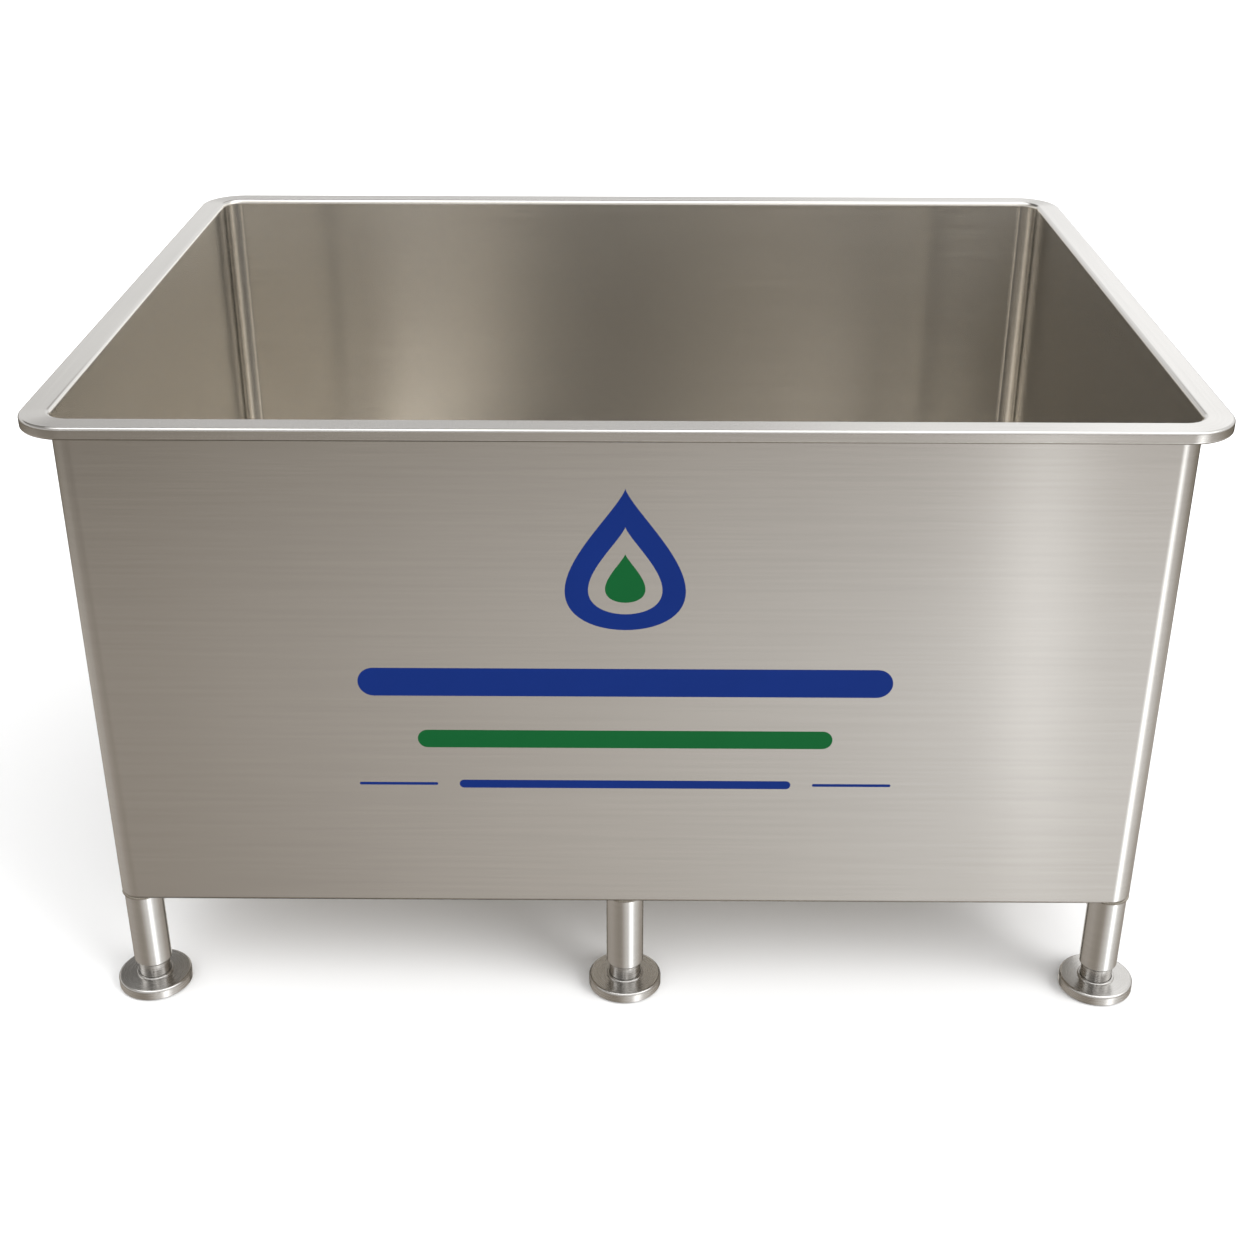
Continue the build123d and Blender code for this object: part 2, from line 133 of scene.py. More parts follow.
def rounded(corners, step=math.radians(12)):
    """Points of a closed outline from (u, v, radius) corners, with each rounded corner as an arc."""
    points = []
    count = len(corners)
    for i, (u, v, radius) in enumerate(corners):
        if radius <= 0:
            points.append((u, v))
            continue
        before = corners[i - 1]
        after = corners[(i + 1) % count]
        a = unit((before[0] - u, before[1] - v))
        b = unit((after[0] - u, after[1] - v))
        half = math.acos(max(-1.0, min(1.0, a[0] * b[0] + a[1] * b[1]))) / 2
        reach = radius / math.tan(half)
        middle = unit((a[0] + b[0], a[1] + b[1]))
        centre = (u + middle[0] * radius / math.sin(half), v + middle[1] * radius / math.sin(half))
        start = (u + a[0] * reach - centre[0], v + a[1] * reach - centre[1])
        end = (u + b[0] * reach - centre[0], v + b[1] * reach - centre[1])
        from_angle = math.atan2(start[1], start[0])
        turn = (math.atan2(end[1], end[0]) - from_angle + math.pi) % (2 * math.pi) - math.pi
        steps = max(2, round(abs(turn) / step))
        for k in range(steps + 1):
            angle = from_angle + turn * k / steps
            points.append((centre[0] + radius * math.cos(angle), centre[1] + radius * math.sin(angle)))
    return points


def lengths(points):
    """Distance round a closed line of points to each of them, and on to the first again."""
    total = [0.0]
    for a, b in zip(points, points[1:] + points[:1]):
        total.append(total[-1] + math.dist(a, b))
    return total


def piece_from(bm, name):
    """Object from a finished mesh."""
    mesh = bpy.data.meshes.new(name)
    bm.to_mesh(mesh)
    bm.free()
    piece = bpy.data.objects.new(name, mesh)
    bpy.context.scene.collection.objects.link(piece)
    return piece


def closed_piece(bm, name):
    """Object from a closed mesh, with its faces outwards."""
    bm.normal_update()
    if bm.calc_volume(signed=True) < 0:
        bmesh.ops.reverse_faces(bm, faces=bm.faces)
    return piece_from(bm, name)


def flat_faces_stay_flat(piece, sharp_angle=35):
    """Keeps flats flat beside folds: sharp edges by angle, then normals weighted by area."""
    piece.data.set_sharp_from_angle(angle=math.radians(sharp_angle))
    weighted = piece.modifiers.new("Weighted normals", "WEIGHTED_NORMAL")
    weighted.mode = "FACE_AREA"
    weighted.weight = 100
    weighted.keep_sharp = True


def mesh_of_rings(name, rings, uv_of):
    """Closed mesh through equal rings of points; uv_of(ring, point) is the grain map in metres, U along the grain."""
    bm = bmesh.new()
    layer = bm.loops.layers.uv.new("grain")
    rows = [[bm.verts.new(p) for p in ring] for ring in rings]
    ring_total, point_total = len(rings), len(rings[0])
    for i in range(ring_total):
        for j in range(point_total):
            spots = ((i, j), (i, j + 1), (i + 1, j + 1), (i + 1, j))
            face = bm.faces.new([rows[a % ring_total][b % point_total] for a, b in spots])
            face.smooth = True
            for loop, (a, b) in zip(face.loops, spots):
                loop[layer].uv = uv_of(a, b)
    return closed_piece(bm, name)


ON_AXIS = 1e-7


def turned_piece(name, centre, corners, steps=96, grain_offset=0.0):
    """Turned solid about an upright axis, from (radius, height, fillet) corners; a radius of 0 closes an end."""
    profile = rounded(corners, math.radians(15))
    profile = [(max(r, 0.0), z) for r, z in profile]
    along = lengths(profile)
    bm = bmesh.new()
    layer = bm.loops.layers.uv.new("grain")
    rows = []
    for r, z in profile:
        if r < ON_AXIS:
            rows.append([bm.verts.new((centre[0], centre[1], z))] * (steps + 1))
        else:
            ring = []
            for k in range(steps):
                angle = 2 * math.pi * k / steps
                ring.append(bm.verts.new((centre[0] + r * math.cos(angle), centre[1] + r * math.sin(angle), z)))
            rows.append(ring + ring[:1])
    for i in range(len(profile)):
        nxt = (i + 1) % len(profile)
        if profile[i][0] < ON_AXIS and profile[nxt][0] < ON_AXIS:
            continue
        wide = max(profile[i][0], profile[nxt][0])
        for k in range(steps):
            spots = [(i, k), (i, k + 1), (nxt, k + 1), (nxt, k)]
            verts, used = [], []
            for a, b in spots:
                if rows[a][b] not in verts:
                    verts.append(rows[a][b])
                    used.append((a, b))
            face = bm.faces.new(verts)
            face.smooth = True
            for loop, (a, b) in zip(face.loops, used):
                across = along[i] if a == i else along[i + 1]
                loop[layer].uv = (b / steps * 2 * math.pi * wide + grain_offset, across)
    piece = closed_piece(bm, name)
    flat_faces_stay_flat(piece)
    return piece


def dress(piece, material, slot, body, *nodes):
    """Gives a finished piece its material and body, and hides the CAD nodes it stands for; slot is not used."""
    if material:
        piece.data.materials.clear()
        piece.data.materials.append(material)
    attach(piece, body)
    if nodes:
        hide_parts(*nodes)
    return piece


# ---- material helpers ----

def add(tree, kind, inputs=None, **settings):
    """Adds a node with its settings; inputs are values or output sockets, by name or number."""
    node = tree.nodes.new(kind)
    for key, value in settings.items():
        setattr(node, key, value)
    for key, value in (inputs or {}).items():
        if isinstance(value, bpy.types.NodeSocket):
            tree.links.new(value, node.inputs[key])
        else:
            node.inputs[key].default_value = value
    return node


def new_material(name, base, metallic, roughness, **sockets):
    """Principled material; returns it with its tree and shader."""
    base = tuple(base)
    material = bpy.data.materials.new(name)
    material.use_nodes = True
    tree = material.node_tree
    shader = tree.nodes["Principled BSDF"]
    shader.inputs["Base Color"].default_value = base
    shader.inputs["Metallic"].default_value = metallic
    shader.inputs["Roughness"].default_value = roughness
    for key, value in sockets.items():
        shader.inputs[key.replace("_", " ")].default_value = value
    material.diffuse_color = base
    return material, tree, shader


def shaded(tree, tone, factor, low, high):
    """Tone times a factor that runs from low to high as factor runs from 0 to 1."""
    gain = add(tree, "ShaderNodeMapRange", {"Value": factor, "To Min": low, "To Max": high})
    grey = add(tree, "ShaderNodeCombineColor", {channel: gain.outputs[0] for channel in range(3)})
    if not isinstance(tone, bpy.types.NodeSocket):
        tone = tuple(tone)
    inputs = {"Factor": 1.0, 6: tone, 7: grey.outputs[0]}
    return add(tree, "ShaderNodeMix", inputs, data_type="RGBA", blend_type="MULTIPLY").outputs[2]


def grain(tree, vector, long_mm, wide_mm, detail=3.0):
    """Noise drawn out along U (or X): streaks about long_mm by wide_mm."""
    per_metre = (1 / (long_mm * MM), 1 / (wide_mm * MM), 1 / (wide_mm * MM))
    place = add(tree, "ShaderNodeMapping", {"Vector": vector, "Scale": per_metre}).outputs[0]
    inputs = {"Vector": place, "Scale": 1.0, "Detail": detail, "Roughness": 0.6}
    return add(tree, "ShaderNodeTexNoise", inputs).outputs["Fac"]


ACROSS_THE_GRAIN = 0.25
ROUGHNESS_SPREAD = 0.03


def brushed_material(name, base, roughness, anisotropy, streaks, mapped=True, bump=0.00001):
    """Stainless with a directional finish; streaks are (length, width) in mm of its fine and its broad grain."""
    material, tree, shader = new_material(
        name, base, 1.0, roughness, Anisotropic=anisotropy, Anisotropic_Rotation=ACROSS_THE_GRAIN
    )
    if mapped:
        vector = add(tree, "ShaderNodeUVMap", uv_map="grain").outputs[0]
        tangent = add(tree, "ShaderNodeTangent", direction_type="UV_MAP", uv_map="grain")
        tree.links.new(tangent.outputs[0], shader.inputs["Tangent"])
    else:
        vector = add(tree, "ShaderNodeTexCoord").outputs["Object"]
        shader.inputs["Anisotropic"].default_value = 0.0
    fine = grain(tree, vector, *streaks[0])
    broad = grain(tree, vector, *streaks[1], detail=1.0)
    cloud = add(tree, "ShaderNodeTexNoise", {"Vector": vector, "Scale": 4.0, "Detail": 2.0}).outputs["Fac"]
    tone = shaded(tree, base, fine, 0.92, 1.06)
    tone = shaded(tree, tone, broad, 0.95, 1.04)
    tone = shaded(tree, tone, cloud, 0.96, 1.03)
    tree.links.new(tone, shader.inputs["Base Color"])
    ends = {"To Min": roughness - ROUGHNESS_SPREAD, "To Max": roughness + ROUGHNESS_SPREAD}
    rough = add(tree, "ShaderNodeMapRange", {"Value": fine, **ends})
    tree.links.new(rough.outputs[0], shader.inputs["Roughness"])
    relief = add(tree, "ShaderNodeBump", {"Height": fine, "Strength": 0.6, "Distance": bump})
    tree.links.new(relief.outputs[0], shader.inputs["Normal"])
    return material


@cache
def satin_stainless():
    # 304 sheet with a No. 4 finish: belt-brushed along the sheet, so highlights spread up and down and the grain
    # shows as faint level lines. The grit's own 0.1 mm lines are too fine to show and are drawn 1 mm apart.
    return brushed_material("satin_stainless", finish().satin, 0.18, 1.0, ((110, 1.0), (320, 6.0)))


@cache
def polished_inside_painted_light():
    # The tub's inside, polished smoother so that it washes clean; its colour, lighter than the outside's, is painted
    # light.
    return brushed_material("polished_stainless_inside", finish().inside, 0.18, 1.0, ((200, 1.4), (600, 14.0)))


def polished_tube():
    # 304 dairy tube, mop-polished round the tube: brighter and smoother than the sheet.
    return brushed_material("polished_stainless_tube", finish().tube, 0.24, 0.5, ((40, 0.8), (90, 5.0)))


def turned_stainless():
    # 304 bar turned on a lathe: fine rings round the axis, with a soft highlight across them.
    return brushed_material("turned_stainless", finish().turned, 0.27, 0.6, ((60, 0.7), (60, 3.0)))


@cache
def blasted_stainless():
    # The same steel on pipe, valve, bolts and channels, bead-blasted: an even satin with no lines, so no grain map.
    return brushed_material("blasted_stainless", finish().turned, 0.36, 0.0, ((9, 0.9), (30, 6.0)), mapped=False)


def rubber_material(name, base, roughness):
    # Moulded rubber: dark and matt, with a faint mould texture about 0.5 mm across and dust in the open.
    material, tree, shader = new_material(name, base, 0.0, roughness, Specular_IOR_Level=0.35)
    vector = add(tree, "ShaderNodeTexCoord").outputs["Object"]
    pebble = add(tree, "ShaderNodeTexNoise", {"Vector": vector, "Scale": 2000.0, "Detail": 2.0}).outputs["Fac"]
    dust = add(tree, "ShaderNodeTexNoise", {"Vector": vector, "Scale": 60.0, "Detail": 4.0}).outputs["Fac"]
    tree.links.new(shaded(tree, base, dust, 0.7, 1.5), shader.inputs["Base Color"])
    relief = add(tree, "ShaderNodeBump", {"Height": pebble, "Strength": 0.5, "Distance": 0.00005})
    tree.links.new(relief.outputs[0], shader.inputs["Normal"])
    return material


def vinyl(name, base):
    # Cut cast-vinyl film on the sheet: flat strong colour, a soft sheen and the faintest orange peel.
    material, tree, shader = new_material(name, base, 0.0, 0.45, Specular_IOR_Level=0.12)
    vector = add(tree, "ShaderNodeTexCoord").outputs["Object"]
    peel = add(tree, "ShaderNodeTexNoise", {"Vector": vector, "Scale": 350.0, "Detail": 1.0}).outputs["Fac"]
    tone = add(tree, "ShaderNodeTexNoise", {"Vector": vector, "Scale": 12.0, "Detail": 2.0}).outputs["Fac"]
    tree.links.new(shaded(tree, base, tone, 0.93, 1.07), shader.inputs["Base Color"])
    relief = add(tree, "ShaderNodeBump", {"Height": peel, "Strength": 0.15, "Distance": 0.00005})
    tree.links.new(relief.outputs[0], shader.inputs["Normal"])
    return material


def sheet():
    return bpy.context.scene.tank_sheet


def finish():
    return bpy.context.scene.tank_finish


def studio():
    return bpy.context.scene.tank_studio


# ---- places read from the frame ----

def joined_box(*nodes):
    """Box round several CAD nodes."""
    lows, highs = zip(*(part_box(n) for n in nodes))
    low = [min(v[i] for v in lows) for i in range(3)]
    high = [max(v[i] for v in highs) for i in range(3)]
    return low, high


RIM_HIGH = joined_box(*("rim_" + s for s in SIDES))[1]
WALL_HIGH = joined_box(*(s + "_wall" for s in SIDES))[1]
CORNER_LOW, CORNER_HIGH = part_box("wall_corner_rear_right")
PAN_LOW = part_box("floor_pan")[0]
BEND_LOW, BEND_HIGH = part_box("outlet_bend")
WALL_X, WALL_Y = WALL_HIGH[0], WALL_HIGH[1]
CORNER_R = CORNER_HIGH[0] - CORNER_LOW[0]
FLANGE = RIM_HIGH[0] - WALL_X
TOP = RIM_HIGH[2]
LEG_LOW, LEG_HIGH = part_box("leg_front_middle")
FLOOR_Z = LEG_HIGH[2]
PIPE_R = (BEND_HIGH[0] - BEND_LOW[0]) / 2
OUTLET = ((BEND_LOW[0] + BEND_HIGH[0]) / 2, BEND_LOW[1] + PIPE_R)
LEG_R = (LEG_HIGH[0] - LEG_LOW[0]) / 2
# Floor: flat margin along the walls, and the outlet's flat seat and bore.
FALL_X, FALL_Y = WALL_X - 70 * MM, WALL_Y - 70 * MM
FALLS = [(x * FALL_X - OUTLET[0], y * FALL_Y - OUTLET[1]) for x, y in ((1, 1), (-1, 1), (-1, -1), (1, -1))]
SEAT_R = 42 * MM
DRAIN_R = 23.75 * MM
# Leg tube and foot: bores, outer radii and the play between moving parts.
TUBE_BORE_R = 23.4 * MM
MOUTH_R = 21.65 * MM
SLEEVE_R = 21.35 * MM
SLEEVE_FLANGE_R = 24 * MM
SOCKET_R = 24.3 * MM
STUD_HOLE_R = 12.06 * MM
THREAD_RELIEF_R = 13.5 * MM
RING_R = 25 * MM
FOOT_R = 50 * MM
PAD_R = 46 * MM
PLAY = 0.3 * MM


def leg_centre(name):
    low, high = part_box("leg_" + name)
    return ((low[0] + high[0]) / 2, (low[1] + high[1]) / 2)


# ---- tub ----

def wall_ring(offset, z, steps):
    """Rounded rectangle round the tub, offset outwards from the wall's outer face."""
    radius = CORNER_R + offset
    points = []
    for k, (sx, sy) in enumerate(((1, 1), (-1, 1), (-1, -1), (1, -1))):
        centre = (sx * (WALL_X - CORNER_R), sy * (WALL_Y - CORNER_R))
        for i in range(steps + 1):
            angle = math.radians(90) * (k + i / steps)
            points.append((centre[0] + radius * math.cos(angle), centre[1] + radius * math.sin(angle), z))
    return points


def tub_section():
    """Sheet's cross-section from the floor's underside, up the outside, round the rim and down the inside."""
    s = sheet()
    t = s.sheet
    floor = FLOOR_Z
    lip = TOP - s.rim_lip
    hem = FLANGE - s.rim_hem
    hem_edge = t * 0.3
    return rounded([
        (-s.floor_border, floor, 0),
        (0, floor, s.floor_fold),
        (0, TOP - t, s.rim_inner_fold - t),
        (FLANGE - t, TOP - t, s.rim_outer_fold - t),
        (FLANGE - t, lip + t, s.rim_hem_fold - t),
        (hem, lip + t, hem_edge),
        (hem, lip, hem_edge),
        (FLANGE, lip, s.rim_hem_fold),
        (FLANGE, TOP, s.rim_outer_fold),
        (-t, TOP, s.rim_inner_fold),
        (-t, floor + t, s.floor_fold - t),
        (-s.floor_border, floor + t, 0),
    ])


def faces_inside(face):
    """Whether a face of the tub's skin is inside, corners and all: polished, and painted lighter as painted light."""
    x, y = abs(face.center.x), abs(face.center.y)
    if x > WALL_X - MM or y > WALL_Y - MM or face.normal.z < -0.5:
        return False
    in_corner = x > WALL_X - CORNER_R and y > WALL_Y - CORNER_R
    return not (in_corner and math.hypot(x - WALL_X + CORNER_R, y - WALL_Y + CORNER_R) > CORNER_R - MM)


def make_tub():
    section = tub_section()
    steps = sheet().corner_steps
    rings = [wall_ring(offset, z, steps) for offset, z in section]
    around = lengths([p[:2] for p in wall_ring(0, 0, steps)])
    along = lengths(section)
    piece = mesh_of_rings("tub_skin", rings, lambda a, b: (around[b], along[a]))
    flat_faces_stay_flat(piece)
    piece.data.materials.append(satin_stainless())
    # Second material: the polished inside, with a lighter colour that is painted light on the tub's shaded inside.
    piece.data.materials.append(polished_inside_painted_light())
    for face in piece.data.polygons:
        face.material_index = int(faces_inside(face))
    nodes = [s + "_wall" for s in SIDES] + ["rim_" + s for s in SIDES]
    nodes += ["wall_corner_" + c for c in CORNER_NAMES] + ["rim_corner_" + c for c in CORNER_NAMES]
    dress(piece, None, "satin_stainless", TUB, *nodes)


def make_floor():
    """Floor plate with its falls, inside the border that belongs to the tub's skin."""
    s = sheet()
    border = [(p[0] - OUTLET[0], p[1] - OUTLET[1]) for p in wall_ring(-s.floor_border, 0, s.corner_steps)]
    angles = {round(math.atan2(y, x), 6) for x, y in border + FALLS}
    angles |= {round(2 * math.pi * k / CIRCLE_STEPS - math.pi, 6) for k in range(CIRCLE_STEPS)}
    bottom = PAN_LOW[2]
    seat_top = bottom + s.sheet
    top = FLOOR_Z + s.sheet
    columns = []
    for angle in sorted(angles):
        way = (math.cos(angle), math.sin(angle))
        edge = ray_reach(way, border)
        fall = ray_reach(way, FALLS)
        seat_edge = seat_top + (top - seat_top) * SEAT_R / fall
        column = [
            (edge, top), (fall, top), (SEAT_R, seat_edge), (SEAT_R, seat_top), (DRAIN_R, seat_top), (DRAIN_R, bottom),
            (SEAT_R, bottom), (SEAT_R, seat_edge - s.sheet), (fall, FLOOR_Z), (edge, FLOOR_Z),
        ]
        columns.append([(OUTLET[0] + way[0] * r, OUTLET[1] + way[1] * r, z) for r, z in column])
    rings = list(zip(*columns))
    piece = mesh_of_rings("floor_plate", rings, lambda a, b: rings[a % len(rings)][b % len(columns)][:2])
    piece.data.set_sharp_from_angle(angle=math.radians(0.5))
    # The floor plate takes the inside's lighter colour, which is painted light.
    dress(piece, polished_inside_painted_light(), "satin_stainless", TUB, "floor_pan")


def ray_reach(way, polygon):
    """Distance from the origin to a polygon round it, along a direction."""
    best = 0.0
    for (ax, ay), (bx, by) in zip(polygon, polygon[1:] + polygon[:1]):
        ex, ey = bx - ax, by - ay
        cross = way[0] * ey - way[1] * ex
        if abs(cross) < 1e-12:
            continue
        reach = (ax * ey - ay * ex) / cross
        along = (ax * way[1] - ay * way[0]) / cross
        if reach > 0 and -1e-4 <= along <= 1 + 1e-4:
            best = max(best, reach)
    return best


# ---- legs and feet ----

def make_legs():
    material = polished_tube()
    bottom, top = LEG_LOW[2], LEG_HIGH[2]
    turned_in, mouth_depth = 3.0 * MM, 4.3 * MM
    corners = [
        (LEG_R, top, 0.3 * MM),
        (LEG_R, bottom + 3.2 * MM, turned_in),
        (LEG_R - turned_in, bottom, 0.8 * MM),
        (MOUTH_R, bottom, 0.3 * MM),
        (MOUTH_R, bottom + mouth_depth, 0),
        (TUBE_BORE_R, bottom + mouth_depth, 0),
        (TUBE_BORE_R, top, 0),
    ]
    for i, name in enumerate(LEG_NAMES):
        piece = turned_piece("leg_tube_" + name, leg_centre(name), corners, grain_offset=i)
        dress(piece, material, "polished_stainless", TUB, "leg_" + name)


def make_feet():
    steel = turned_stainless()
    rubber = rubber_material("foot_rubber", finish().rubber, 0.75)
    thread, hole_end = 30 * MM, 10 * MM
    for i, name in enumerate(LEG_NAMES):
        centre = leg_centre(name)
        low, high = (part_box(f"foot_{name}_disc")[k][2] for k in (0, 1))
        ring_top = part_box(f"foot_{name}_ring")[1][2]
        sleeve_low, sleeve_top = (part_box(f"foot_{name}_sleeve")[k][2] for k in (0, 1))
        pad_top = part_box(f"foot_{name}_pad")[1][2]
        foot, screw, turned = "foot_" + name, "screw_" + name, "turned_stainless"
        for part, body, material, slot, offset, corners in (
            ("disc", foot, steel, turned, 0, (
                (0, pad_top, 0), (PAD_R, pad_top, 0), (PAD_R, low, 0.2 * MM), (FOOT_R, low, 0.8 * MM),
                (FOOT_R, high, 3.6 * MM), (SOCKET_R, high, 0.3 * MM), (SOCKET_R, sleeve_low - PLAY, 0),
                (0, sleeve_low - PLAY, 0),
            )),
            ("ring", foot, steel, turned, 0.3, (
                (MOUTH_R, high, 0), (RING_R, high, 0.2 * MM), (RING_R, ring_top, 1.5 * MM),
                (MOUTH_R, ring_top, 0.8 * MM),
            )),
            ("pad", foot, rubber, "foot_rubber", 0, (
                (0, 0, 0), (PAD_R - 2 * MM, 0, 0), (PAD_R, 0.6 * MM, 0.5 * MM), (PAD_R, pad_top, 0),
                (0, pad_top, 0),
            )),
            ("sleeve", screw, steel, turned, 0.6, (
                (0, sleeve_low, 0), (SLEEVE_FLANGE_R, sleeve_low, 0.5 * MM),
                (SLEEVE_FLANGE_R, high - PLAY, 0.5 * MM), (SLEEVE_R, high - PLAY, 0),
                (SLEEVE_R, sleeve_top, 1.0 * MM), (STUD_HOLE_R, sleeve_top, 0.8 * MM),
                (STUD_HOLE_R, sleeve_top - thread, 0), (THREAD_RELIEF_R, sleeve_top - thread, 0),
                (THREAD_RELIEF_R, high + hole_end, 0), (0, high + hole_end, 0),
            )),
        ):
            piece = turned_piece(f"foot_{part}_{name}", centre, corners, grain_offset=i + offset)
            dress(piece, material, slot, body, f"foot_{name}_{part}")


# ---- welds and bolts, grown by geometry nodes ----

def grower(name, **inputs):
    """Empty geometry tree; inputs are its named values, each the socket type and default."""
    tree = bpy.data.node_groups.new(name, "GeometryNodeTree")
    tree.interface.new_socket("Geometry", in_out="OUTPUT", socket_type="NodeSocketGeometry")
    tree.interface.new_socket("Geometry", in_out="INPUT", socket_type="NodeSocketGeometry")
    for label, (kind, default) in inputs.items():
        socket = tree.interface.new_socket(label.replace("_", " "), in_out="INPUT", socket_type="NodeSocket" + kind)
        if default is not None:
            socket.default_value = default
    return tree, add(tree, "NodeGroupInput").outputs


def end_tree(tree, geometry, material):
    """Turns instances into a mesh with its material, as the tree's result."""
    solid = add(tree, "GeometryNodeRealizeInstances", {0: geometry})
    dressed = add(tree, "GeometryNodeSetMaterial", {"Geometry": solid.outputs[0], "Material": material})
    add(tree, "NodeGroupOutput", {0: dressed.outputs[0]})


def grow(name, tree, points, edges, **values):
    """Runs a tree over points and edges, and keeps the result as a plain mesh."""
    path = bpy.data.meshes.new(name + "_path")
    path.from_pydata(points, edges, [])
    piece = bpy.data.objects.new(name, path)
    bpy.context.scene.collection.objects.link(piece)
    modifier = piece.modifiers.new("Grow", "NODES")
    modifier.node_group = tree
    for socket in tree.interface.items_tree:
        key = socket.name.replace(" ", "_")
        if socket.in_out == "INPUT" and key in values:
            modifier[socket.identifier] = values[key]
    mesh = bpy.data.meshes.new_from_object(piece.evaluated_get(bpy.context.evaluated_depsgraph_get()))
    mesh.name = name
    piece.modifiers.clear()
    piece.data = mesh
    bpy.data.meshes.remove(path)
    return piece


def weld_tree():
    """Row of overlapping beads along every edge path."""
    tree, given = grower(
        "weld_run", Spacing=("Float", 2.2 * MM), Width=("Float", 4.5 * MM), Seed=("Int", 7), Material=("Material", None)
    )
    run = add(tree, "GeometryNodeMeshToCurve", {"Mesh": given["Geometry"]})
    spots = add(tree, "GeometryNodeCurveToPoints", {"Curve": run.outputs[0], "Length": given["Spacing"]}, mode="LENGTH")
    half = add(tree, "ShaderNodeMath", {0: given["Width"], 1: 0.5}, operation="MULTIPLY").outputs[0]
    bead = add(tree, "GeometryNodeMeshUVSphere", {"Segments": 8, "Rings": 5, "Radius": half})
    smooth = add(tree, "GeometryNodeSetShadeSmooth", {0: bead.outputs[0]})
    spread = {"Min": (0.94, 0.94, 0.7), "Max": (1.06, 1.06, 0.85), "Seed": given["Seed"]}
    size = add(tree, "FunctionNodeRandomValue", spread, data_type="FLOAT_VECTOR")
    beads = add(tree, "GeometryNodeInstanceOnPoints", {
        "Points": spots.outputs["Points"], "Instance": smooth.outputs[0], "Rotation": spots.outputs["Rotation"],
        "Scale": size.outputs[0]})
    end_tree(tree, beads.outputs[0], given["Material"])
    return tree


def circle_run(centre, radius, upright=False):
    """Points and edges of a circle, level or upright across the outlet pipe."""
    points = []
    for k in range(CIRCLE_STEPS):
        angle = 2 * math.pi * k / CIRCLE_STEPS
        point = [centre[0] + radius * math.cos(angle), centre[1], centre[2]]
        point[2 if upright else 1] += radius * math.sin(angle)
        points.append(point)
    return points, [(k, (k + 1) % CIRCLE_STEPS) for k in range(CIRCLE_STEPS)]


def underside(x, y):
    """Height of the floor plate's underside."""
    reach = math.hypot(x - OUTLET[0], y - OUTLET[1])
    way = ((x - OUTLET[0]) / reach, (y - OUTLET[1]) / reach)
    return PAN_LOW[2] + (FLOOR_Z - PAN_LOW[2]) * min(1.0, reach / ray_reach(way, FALLS))


def channel_stitches(name, stitch=30 * MM, pitch=110 * MM, bare_ends=90 * MM):
    """Points and edges of the short welds along both edges of a channel."""
    low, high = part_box(name)
    points, edges = [], []
    count = int((high[1] - low[1] - bare_ends) / pitch)
    for side in (low[0], high[0]):
        for k in range(count + 1):
            y = (k - count / 2) * pitch
            for end in (y - stitch / 2, y + stitch / 2):
                points.append((side, end, underside(side, end)))
            edges.append((len(points) - 2, len(points) - 1))
    return points, edges


def joined_runs(runs):
    """Several runs of points and edges as one."""
    points, edges = [], []
    for run_points, run_edges in runs:
        edges += [(a + len(points), b + len(points)) for a, b in run_edges]
        points += run_points
    return points, edges


def weld_material():
    # Tungsten-arc weld in stainless, wire-brushed: rippled beads, a little duller and straw-tinted beside the sheet.
    material, tree, shader = new_material("brushed_weld", finish().weld, 1.0, 0.34)
    vector = add(tree, "ShaderNodeTexCoord").outputs["Object"]
    tint = add(tree, "ShaderNodeTexNoise", {"Vector": vector, "Scale": 90.0, "Detail": 2.0}).outputs["Fac"]
    scratch = add(tree, "ShaderNodeTexNoise", {"Vector": vector, "Scale": 900.0, "Detail": 2.0}).outputs["Fac"]
    tree.links.new(shaded(tree, finish().weld, tint, 0.75, 1.25), shader.inputs["Base Color"])
    relief = add(tree, "ShaderNodeBump", {"Height": scratch, "Strength": 0.4, "Distance": 0.00005})
    tree.links.new(relief.outputs[0], shader.inputs["Normal"])
    return material


def make_welds():
    material, body_box = weld_material(), joined_box("valve_body_front", "valve_body_rear")
    sunk = 0.4 * MM
    legs = [circle_run((*leg_centre(name), FLOOR_Z - sunk), LEG_R + sunk) for name in LEG_NAMES]
    pipe_z = BEND_LOW[2] + PIPE_R
    pipe = [circle_run((*OUTLET, PAN_LOW[2] - 0.3 * MM), PIPE_R)]
    pipe += [circle_run((OUTLET[0], end[1], pipe_z), PIPE_R - sunk, upright=True) for end in body_box]
    tree = weld_tree()
    for name, runs, sizes in (
        ("weld_legs", legs, {}),
        ("weld_channels", [channel_stitches(node) for node in CHANNELS], {"Width": 4 * MM}),
        ("weld_pipe", pipe, {"Width": 3 * MM, "Spacing": 1.6 * MM}),
    ):
        dress(grow(name, tree, *joined_runs(runs), Material=material, **sizes), None, "satin_stainless", TUB)


